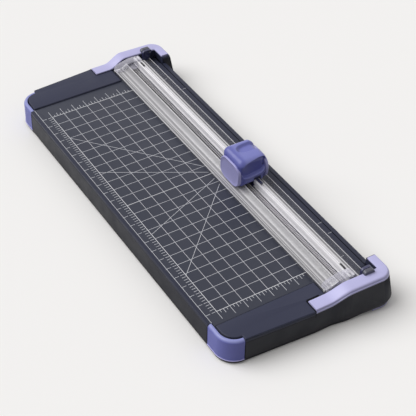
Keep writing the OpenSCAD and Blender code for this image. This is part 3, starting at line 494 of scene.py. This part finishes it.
def bracket_rings():
    """Each ring goes up the skirt, over the crown and down the inner wall. The crown's edge is a
    quarter ellipse whose size follows the height over the deck."""
    lift = (top - deck_z)[:, None]
    edge = np.minimum(2.0, 0.5 + 0.2 * lift)
    skirt = lift * 0 + skirt_drop
    quarter = turn(180, 90, 7)
    out_d = np.hstack([0 * edge + 0.5, 0 * edge + 0.15, 0 * edge, 0 * edge + 0.1, 0 * edge + 0.75,
                       0.8 + edge * (1 + quarter[:, 0])])
    out_z = np.hstack([-skirt, 0.1 - skirt, 0.35 - skirt, 1.5 - skirt, 1.75 - skirt,
                       edge * (quarter[:, 1] - 1)])
    in_edge = np.minimum(0.8, 0.2 + 0.1 * lift)
    other = turn(90, 0, 5)
    in_d = reach - in_edge * (1 - other[:, 0])
    in_z = in_edge * (other[:, 1] - 1)
    rim = np.minimum(rim_drop, 0.5 * lift)
    foot = np.hstack([reach, reach - 0.3, 0 * reach + 2.9, 0 * reach + 1.6])
    foot_z = np.hstack([0.3 - rim, -rim, -rim - 0.4, -skirt])
    d, z = np.hstack([out_d, in_d, foot]), np.hstack([out_z, in_z, foot_z]) + top[:, None]
    return np.dstack([outer[:, None] + inwards[:, None] * d[..., None], z])


def lining_rings():
    """The dark wall under the crown: it follows the inner line 0.3 mm back and turns over the pod's end."""
    line = np.concatenate([inner - 0.3 * inwards, [[inner_x + 0.3, pod_end], [81.4, pod_end]]])
    out = np.concatenate([inwards, [[-1.0, -1.0], [0.0, -1.0]]])
    high = np.concatenate([top, [top[-1], top[-1]]]) - np.minimum(rim_drop, 0.5 * (top.mean() - deck_z))
    section = np.array([[0, 0], [0, 1], [1.5, 1], [1.5, 0]])
    flat = line[:, None] - out[:, None] * section[None, :, :1]
    return np.dstack([flat, lining_foot + (high[:, None] - lining_foot) * section[None, :, 1]])


def joined(*parts):
    """Several pairs of points and faces as one pair."""
    firsts = np.cumsum([0] + [len(points) for points, _ in parts[:-1]])
    return (np.concatenate([points for points, _ in parts]),
            np.concatenate([faces + first for (_, faces), first in zip(parts, firsts)]))


lavender = plastic("lavender_abs", "bcbae4", 0.34, 0.46, depth=0.3, tint=0.08)
joint_low, joint_high, joint_end = 27.4, 27.53, 200.45
wall_joint = strokes([[(2.3, 200.4), (2.3, 200.6)]], 0.5, 20.2, 27.2)
joints = (("far_bracket", 1, 2.1, 187.6, joint_width, joint_width),
          ("near_bracket", near_side, 2.0, 186.2, 1.2, 2.0))
for node, flip, left, back, narrow, wide in joints:
    points, faces = skinned(bracket_rings() * flip)
    formed("hooked_" + node, points, faces, lavender, "base", node, sharp=42)
    points, faces = skinned(lining_rings() * flip)
    formed("lining_of_" + node, points, faces, slab_navy, "base")
    points, faces = joined(strokes([[(left, back), (left, joint_end)]], narrow, joint_low, joint_high),
                           strokes([[(2.5, back), (15.0, back)]], wide, joint_low, joint_high), wall_joint)
    formed("gap_of_" + node, points * flip, faces, gap_black, "base")

# Corner lips: lavender toes at the foot of the two right corners, between the skirt and the table.
for node in ("far_corner_lip", "near_corner_lip"):
    eased(node, "base", 0.5, lavender)

# Cutting strip: a brown-grey strip of soft polymer in a channel of the deck, with moulded ribs across
# and a long groove for the blade. Painted shade darkens the dips between the ribs beyond the carriage's
# place at rest, and the dips on its near side are pale grey. Bands across the strip paint a shadow along
# its left edge and a highlight along its right edge. The strip is slid out and turned when worn.
# Along the bars, from 181.5 mm to 184.5 mm the ends turn white as a painted highlight.
end_highlight_from, end_highlight_to = 181.5, 184.5


def acrylic(name, code, rough):
    """Drawn acrylic: noise stretched along the bar varies its bumps and gloss."""
    finish = metal(name, code, rough * 0.6, rough * 1.4, stretch=(1, 0.02, 1), lines=700, depth=0.2)
    shader = finish.node_tree.nodes["Principled BSDF"]
    shader.inputs["Metallic"].default_value, shader.inputs["IOR"].default_value = 0, 1.49
    return finish


def haze_and_painted_light_bands(name, rough, bands, end_highlight=0.0):
    """A drawn bar whose haze and painted light follow its section: bands give x in mm, brightness and cover,
    where the brightness paints highlights and shade. Its sawn ends turn white by the last value, a painted
    highlight."""
    finish = acrylic(name, "ffffff", rough)
    tree = finish.node_tree
    shader = tree.nodes["Principled BSDF"]
    place, split = tree.nodes.new("ShaderNodeTexCoord"), tree.nodes.new("ShaderNodeSeparateXYZ")
    tree.links.new(place.outputs["Object"], split.inputs[0])
    span, ramp = tree.nodes.new("ShaderNodeMapRange"), tree.nodes.new("ShaderNodeValToRGB")
    low, high = bands[0][0], bands[-1][0]
    span.inputs["From Min"].default_value, span.inputs["From Max"].default_value = low * MM, high * MM
    tree.links.new(split.outputs["X"], span.inputs["Value"])
    tree.links.new(span.outputs["Result"], ramp.inputs["Fac"])
    stops = ramp.color_ramp.elements
    for x, bright, cover in bands[1:-1]:
        stops.new((x - low) / (high - low))
    for stop, (x, bright, cover) in zip(stops, bands):
        stop.position, stop.color = (x - low) / (high - low), (bright, bright * 0.985, bright * 1.02, cover)
    reach, ends = tree.nodes.new("ShaderNodeMath"), tree.nodes.new("ShaderNodeMapRange")
    reach.operation, ends.interpolation_type = "ABSOLUTE", "SMOOTHSTEP"
    tree.links.new(split.outputs["Y"], reach.inputs[0])
    tree.links.new(reach.outputs[0], ends.inputs["Value"])
    ends.inputs["From Min"].default_value = end_highlight_from * MM
    ends.inputs["From Max"].default_value = end_highlight_to * MM
    ends.inputs["To Max"].default_value = end_highlight
    tint = tree.nodes.new("ShaderNodeMix")
    tint.data_type, tint.inputs["B"].default_value = "RGBA", (1, 1, 1, 1)
    cover = tree.nodes.new("ShaderNodeMath")
    cover.operation = "MAXIMUM"
    tree.links.new(ends.outputs["Result"], tint.inputs["Factor"])
    tree.links.new(ramp.outputs["Color"], tint.inputs["A"])
    tree.links.new(ramp.outputs["Alpha"], cover.inputs[0])
    tree.links.new(ends.outputs["Result"], cover.inputs[1])
    tree.links.new(tint.outputs["Result"], shader.inputs["Base Color"])
    tree.links.new(cover.outputs[0], shader.inputs["Alpha"])
    return finish


def face_rows(piece, what):
    """The centres or the normals of a piece's faces, one row each."""
    rows = np.empty((len(piece.data.polygons), 3))
    piece.data.polygons.foreach_get(what, rows.ravel())
    return rows


def dress(piece, numbers):
    """Each face of a piece gets the finish of its number."""
    piece.data.polygons.foreach_set("material_index", np.asarray(numbers, np.int32))


strip_end, groove_x, rib, dip = 187.0, 42.3, 1.76, 0.42
groove_left, groove_right, groove_depth = groove_x - 0.6, groove_x + 0.6, 1.1
cuts = np.arange(-strip_end, strip_end + 0.1, rib / 4)
(x0, _, z0), (x1, _, z1) = (np.array(c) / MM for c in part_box("cutting_strip"))
xs = np.array([x0, x1, x1, groove_right, groove_right, groove_left, groove_left, x0])
zs = np.array([z0, z0, z1, z1, z1 - groove_depth, z1 - groove_depth, z1, z1])
ribbed = np.array([0, 0, 1, 1, 0, 0, 1, 1])
between = np.abs(np.arange(cuts.size) / 4 % 1 - 0.5) < 0.26
rings = np.empty((cuts.size, 8, 3))
rings[..., 0], rings[..., 1] = xs, cuts[:, None]
rings[..., 2] = zs - ribbed * dip * between[:, None]
points, faces = skinned(rings)
# Painted light across the strip: near black at its left edge is a painted shadow by the clamp, near white at
# its right edge a painted highlight.
strip_grey_and_painted_light = haze_and_painted_light_bands("strip_polymer", 0.5, [
    (40.2, 0.01, 1), (41.2, 0.02, 1), (41.3, 0.9, 1), (42.4, 0.7, 1), (43.7, 0.6, 1), (44.1, 0.95, 1),
    (45.0, 0.95, 1)])
strip = formed("toothed_cutting_strip", points, faces, strip_grey_and_painted_light, "base", "cutting_strip", sharp=20)
strip.data.materials.append(plastic("strip_dip_shade", "2c2a2d", 0.7, 0.8))
strip.data.materials.append(plastic("strip_pale_dip", "817e84", 0.7, 0.8))
# Painted shade in the dips between ribs beyond the carriage's place at rest; pale grey dips on its near
# side.
face_y = face_rows(strip, "center")[:, 1] / MM
in_dip = np.abs((face_y + strip_end) / rib % 1 - 0.5) < 0.2
carriage_y, dip_shade, pale_dip = -27, 1, 2
dress(strip, in_dip * np.where(face_y > carriage_y, dip_shade, pale_dip))

# Hinges: a smoky block on the tub's floor looks out of each bracket and holds a steel pin, and a
# knuckle on the corner of the rail's plate turns round it.
smoky = plastic("smoky_plastic", "4c4d5c", 0.22, 0.34, grains=2400, depth=0.1, Coat_Weight=0.2)
for node in ("far_hinge_block", "near_hinge_block"):
    eased(node, "base", 0.5, smoky, steps=3)
knuckle_grey = plastic("knuckle_plastic", "35365a", 0.2, 0.32, depth=0.1, Coat_Weight=0.3)
for node in ("far_knuckle", "near_knuckle"):
    eased(node, "rail", 0.45, knuckle_grey, steps=3)
pin_steel = metal("pin_steel", "c2c3c8", 0.16, 0.3, stretch=(1, 0.1, 1))
for node in ("far_hinge_pin", "near_hinge_pin", "blade_axle", "guide_pins"):
    coat(node, pin_steel)

# Rail: two extruded bars of clear acrylic, joined by end caps over the slot for the blade. The clamp
# bar and the track are frosted by the die, with polished ribs, and the plate towards the hinges is
# clear. Bands across the bars paint their light: painted highlights along the ribs, the track's left
# wall and the plate's right edge, painted shade between, and white painted highlights at their ends.
# Drawing marks run along them. A soft strip under the clamp grips the paper.


def clear_below(piece, finish):
    """The faces of a bar that look down get a clear finish, so that only its top side carries haze and
    painted light.
    """
    numbers = np.empty(len(piece.data.polygons), np.int32)
    piece.data.polygons.foreach_get("material_index", numbers)
    piece.data.materials.append(finish)
    dress(piece, np.where(face_rows(piece, "normal")[:, 2] < -0.5, len(piece.data.materials) - 1, numbers))


def glassy(name, code, rough, clear, edge):
    """Clear moulded acrylic: its cover rises from the clear value to the edge value as it turns away."""
    finish = acrylic(name, code, rough)
    tree = finish.node_tree
    look, cover = tree.nodes.new("ShaderNodeLayerWeight"), tree.nodes.new("ShaderNodeMapRange")
    look.inputs["Blend"].default_value = 0.4
    cover.inputs["To Min"].default_value, cover.inputs["To Max"].default_value = clear, edge
    tree.links.new(look.outputs["Facing"], cover.inputs["Value"])
    tree.links.new(cover.outputs["Result"], tree.nodes["Principled BSDF"].inputs["Alpha"])
    return finish


plate_from = 51.02
# Each band's brightness is painted light: painted highlights on the ribs and painted shade between them; the
# last value whitens the ends as a painted highlight.
clamp_haze_and_light = haze_and_painted_light_bands("clamp_acrylic", 0.2, [
    (21.2, 0.3, 0.3), (21.36, 0.3, 0.3), (21.45, 1.0, 0.8), (22.0, 0.9, 0.75), (22.2, 0.5, 0.42),
    (22.8, 0.66, 0.55), (24.1, 0.42, 0.45), (24.4, 0.78, 0.7), (24.9, 0.8, 0.66), (25.1, 0.5, 0.42),
    (25.9, 0.6, 0.5), (26.4, 0.92, 0.72), (27.4, 0.82, 0.66), (28.0, 0.6, 0.55), (29.4, 0.58, 0.52),
    (29.9, 0.62, 0.6), (30.4, 0.8, 0.7), (31.2, 0.7, 0.64), (32.4, 0.56, 0.58), (34.2, 0.48, 0.54),
    (34.7, 0.46, 0.52), (35.0, 0.8, 0.74), (36.1, 0.8, 0.74)], 0.75)
track_haze_and_light = haze_and_painted_light_bands("track_acrylic", 0.18, [
    (45.3, 1.0, 0.98), (46.0, 0.9, 0.97), (46.9, 0.74, 0.96), (47.15, 1.0, 0.98), (48.9, 1.0, 0.98),
    (49.3, 0.66, 0.95), (49.6, 0.8, 0.97), (50.6, 0.55, 0.9), (51.1, 0.5, 0.85)], 0.8)
# The bright band from 63.36 mm to 63.72 mm is a painted highlight along the plate's right edge.
plate_haze_and_light = haze_and_painted_light_bands("plate_acrylic", 0.1, [
    (51.0, 0.6, 0.8), (52.6, 0.45, 0.5), (54.4, 0.4, 0.45), (55.6, 0.5, 0.45), (56.3, 0.5, 0.45),
    (56.5, 0.95, 0.8), (57.1, 0.95, 0.8), (57.6, 0.5, 0.4), (58.2, 0.5, 0.05), (63.3, 0.5, 0.05),
    (63.36, 1.0, 0.9), (63.72, 1.0, 0.9), (63.78, 0.4, 0.2), (64.0, 0.4, 0.2)])
clamp = eased("clamp_bar", "rail", 0.14, clamp_haze_and_light)
guide = eased("guide_rail", "rail", 0.14, track_haze_and_light)
guide.data.materials.append(plate_haze_and_light)
dress(guide, face_rows(guide, "center")[:, 0] > plate_from * MM)
bar_clear = glassy("bar_acrylic", "f4f4f8", 0.1, 0.0, 0.08)
for bar in (clamp, guide):
    clear_below(bar, bar_clear)
cap_acrylic = glassy("cap_acrylic", "f2f0ff", 0.1, 0.13, 0.8)
for node in ("far_rail_cap", "near_rail_cap"):
    eased(node, "rail", 0.5, cap_acrylic, steps=3)
grip_rubber = plastic("grip_rubber", "6c6d75", 0.6, 0.75, grains=1500, depth=0.5)
coat("grip_strip", grip_rubber)
plug_black = plastic("plug_plastic", "202026", 0.35, 0.5)
eased("track_plugs", "rail", 0.25, plug_black)

# Slide shoe: a dark navy acetal runner that hooks round the track. Its tongues wipe the top groove,
# two steel pins guide the carriage up and down in it, and two springs hold it up.
shoe_navy = plastic("shoe_acetal", "24274a", 0.28, 0.4, depth=0.1)
eased("slide_shoe", "shoe", 0.2, shoe_navy)
spring_steel = metal("spring_steel", "c4c5ca", 0.2, 0.35)
coat("press_springs", spring_steel)

# Blade: a ground steel wheel held between the halves of a dark hub, which turns on an axle in the
# two cheeks of a holder. The holder is screwed up into the carriage's shell.
holder_dark = plastic("holder_nylon", "2e2f36", 0.4, 0.55)
eased("blade_holder", "carriage", 0.2, holder_dark)
coat("blade_wheel", metal("blade_steel", "d5d7db", 0.1, 0.26, lines=2600, depth=0.3))
eased("blade_hub", "blade", 0.2, plastic("hub_nylon", "3c3d45", 0.35, 0.5))

# Carriage shell: the violet hood that is held and pushed. It is a rounded block with a shallow thumb
# hollow and a ridge across its top, and a deep finger recess over a lip in both ends. Gloss-moulded,
# with painted shade that darkens the violet in the hollow, in the recesses and on the left shoulder.
shell_low, shell_high = np.array([28.5, -43.2, 32.0]), np.array([58.5, -10.8, 60.6])
shell_x, shell_y, shell_r = 43.5, -27.0, 6.0
basin_depth, ridge_height, recess_depth, under_cut = 2.8, 0.6, 3.6, 1.5


def round_block(low, high, radius, flat, curved):
    """A block whose edges are rounded: a point of the inner box plus the radius along its normal. The
    grid of each of the six faces is even over the flat part and even in angle over the curves."""
    half, middle = (high - low) / 2, (high + low) / 2
    bend = radius * np.tan(np.linspace(0, math.pi / 4, curved))
    points, faces, first = [], [], 0
    for axis in range(3):
        a, b = (axis + 1) % 3, (axis + 2) % 3
        lines = []
        for k in (a, b):
            inner = half[k] - radius
            even = np.linspace(-inner, inner, flat)
            lines.append(np.concatenate([(-inner - bend)[::-1], even[1:-1], inner + bend]))
        u, v = np.meshgrid(*lines, indexing="ij")
        for side in (-1, 1):
            q = np.empty(u.shape + (3,))
            q[..., axis], q[..., a], q[..., b] = side * half[axis], u, v
            core = np.clip(q, radius - half, half - radius)
            ray = q - core
            grid = core + ray / np.linalg.norm(ray, axis=-1, keepdims=True) * radius + middle
            n, m = u.shape
            index = np.arange(n * m).reshape(n, m) + first
            quads = np.stack([index[:-1, :-1], index[1:, :-1], index[1:, 1:], index[:-1, 1:]], -1)
            points.append(grid.reshape(-1, 3))
            faces.append(quads.reshape(-1, 4)[:, ::side])
            first += n * m
    return np.concatenate(points), np.concatenate(faces)


def carved(p):
    """The block pressed in: hollow and ridge lower the top, and the recesses push the ends inwards. Also
    gives the painted shade at each point, from 0 to 1, for the hollow, the recesses and the left side."""
    p = p.copy()
    x, y, z = p[:, 0] - shell_x, p[:, 1] - shell_y, p[:, 2]
    over = step((z - 52) / 6)
    basin = 1 - np.abs((x - 6) / 13.5) ** 2.6 - np.abs((y - 3.4) / 6.4) ** 2.4
    drop = over * (basin_depth * step(basin / 0.7) + ridge_height * step((-6 - y) / 8))
    # Painted shade in the thumb hollow and down the left side.
    press = np.maximum(0.4 * over * step(basin / 0.5), step((-5.5 - x) / 5.5))
    for way in (-1, 1):
        out = way * y
        mouth = 1 - np.abs((x - 1) / 13.8) ** 4 - np.abs((z - 50.6 - 0.1 * x) / 8.6) ** 2.8
        recess = step(mouth / 0.3) * step((out - 5) / 6)
        # Painted shade in the finger recesses.
        press = np.maximum(press, recess)
        under = step((41.2 - z) / 3.2) * step((out - 8) / 6)
        p[:, 1] -= way * (recess_depth * recess + under_cut * under)
    p[:, 2] -= drop
    return p, press


def hollowed(p):
    """The hood is open below: its underside is raised inside the walls, to clear the shoe when pressed,
    and both end walls are cut out over the track and over the clamp's inner rib."""
    x, y, z = p[:, 0], np.abs(p[:, 1] - shell_y), np.maximum(p[:, 2], shell_low[2])
    inside = (np.abs(x - shell_x) < 11.6) & (y < 13.4) & (z < shell_low[2] + 0.01)
    end_wall, rib_from, rib_to = y > 13.0, 32.2, 45.0
    over_track = (np.abs(x - 48.4) < 3.8) & end_wall
    over_rib = (x > rib_from) & (x < rib_to) & end_wall
    ceiling, track_notch = 38.9, 37.9
    rib_notch = np.minimum(shell_low[2] + 0.7 * (x - rib_from), 34.3)
    z = np.where(over_rib, np.maximum(z, rib_notch), z)
    z = np.where(inside, ceiling, np.where(over_track, np.maximum(z, track_notch), z))
    return np.column_stack([p[:, :2], z])


def merged(points, faces):
    """Points within a micron become one, faces without area go, and the kept points' places are given."""
    _, kept, same = np.unique(np.round(points, 3), axis=0, return_index=True, return_inverse=True)
    corners = [list(dict.fromkeys(face)) for face in same.reshape(-1)[faces].tolist()]
    return points[kept], [face for face in corners if len(face) > 2], kept


below_hem = [0, 0, 2.5]
points, faces = round_block(shell_low - below_hem, shell_high, shell_r, flat=60, curved=16)
points, press = carved(points)
points, faces, kept = merged(hollowed(points), faces)
shell_violet = plastic("violet_abs", "787cc0", 0.3, 0.42, grains=3000, depth=0.12, tint=0.08,
                       Coat_Weight=0.15)
shell = formed("gripped_carriage_shell", points, faces, shell_violet, "carriage", "carriage_shell",
               sharp=180)
# Painted shade: this attribute multiplies the violet down to 0.56, 0.57, 0.76 of its colour where it is 1.
painted_shade_layer = shell.data.attributes.new("press", "FLOAT", "POINT")
painted_shade_layer.data.foreach_set("value", press[kept].astype(np.float32))
tree = shell_violet.node_tree
pressed = tree.nodes.new("ShaderNodeAttribute")
pressed.attribute_name = "press"
shade_multiply = tree.nodes.new("ShaderNodeMix")
shade_multiply.data_type, shade_multiply.blend_type = "RGBA", "MULTIPLY"
tree.links.new(pressed.outputs["Fac"], shade_multiply.inputs["Factor"])
tree.links.new(tree.nodes["Group"].outputs["Colour"], shade_multiply.inputs["A"])
shade_multiply.inputs["B"].default_value = (0.56, 0.57, 0.76, 1)
tree.links.new(shade_multiply.outputs["Result"], tree.nodes["Principled BSDF"].inputs["Base Color"])

# Side plates: rounded lavender plates on both sides of the carriage, with a raised bright rim round a
# flat face. They snap into the shell.


def rounded_loop(half_y, half_z, radius, inset, count):
    """A rounded rectangle moved in by an inset: a quarter turn at each corner, its radius less the inset."""
    r = max(radius - inset, 0.3)
    quarter = turn(0, 90, count)
    corners = [(1, 1, 0), (-1, 1, 1), (-1, -1, 2), (1, -1, 3)]
    turned = [quarter]
    for _ in range(3):
        turned.append(np.stack([-turned[-1][:, 1], turned[-1][:, 0]], 1))
    return np.concatenate([turned[k] * r + [(half_y - inset - r) * sy, (half_z - inset - r) * sz]
                           for sy, sz, k in corners])


lavender_plate = plastic("lavender_plate", "a5a3d6", 0.28, 0.38, depth=0.15, tint=0.06)
plate_r = 9.5
rim = [(0.0, 0.0), (0.0, 2.2), (0.15, 2.7), (0.5, 3.05), (0.9, 3.15), (1.25, 3.05), (1.6, 2.82),
       (4.0, 2.8)]
for node, way in (("left_side_plate", -1), ("right_side_plate", 1)):
    low, high = (np.array(c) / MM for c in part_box(node))
    half, middle = (high - low) / 2, (high + low) / 2
    rings = []
    for inset, height in rim:
        loop = rounded_loop(half[1], half[2], plate_r, inset, count=17)
        away = low[0] + height if way > 0 else high[0] - height
        rings.append(np.column_stack([np.full(len(loop), away), loop + middle[1:]]))
    points, faces = skinned(np.array(rings))
    formed("rimmed_" + node, points, faces, lavender_plate, "carriage", node, sharp=60)
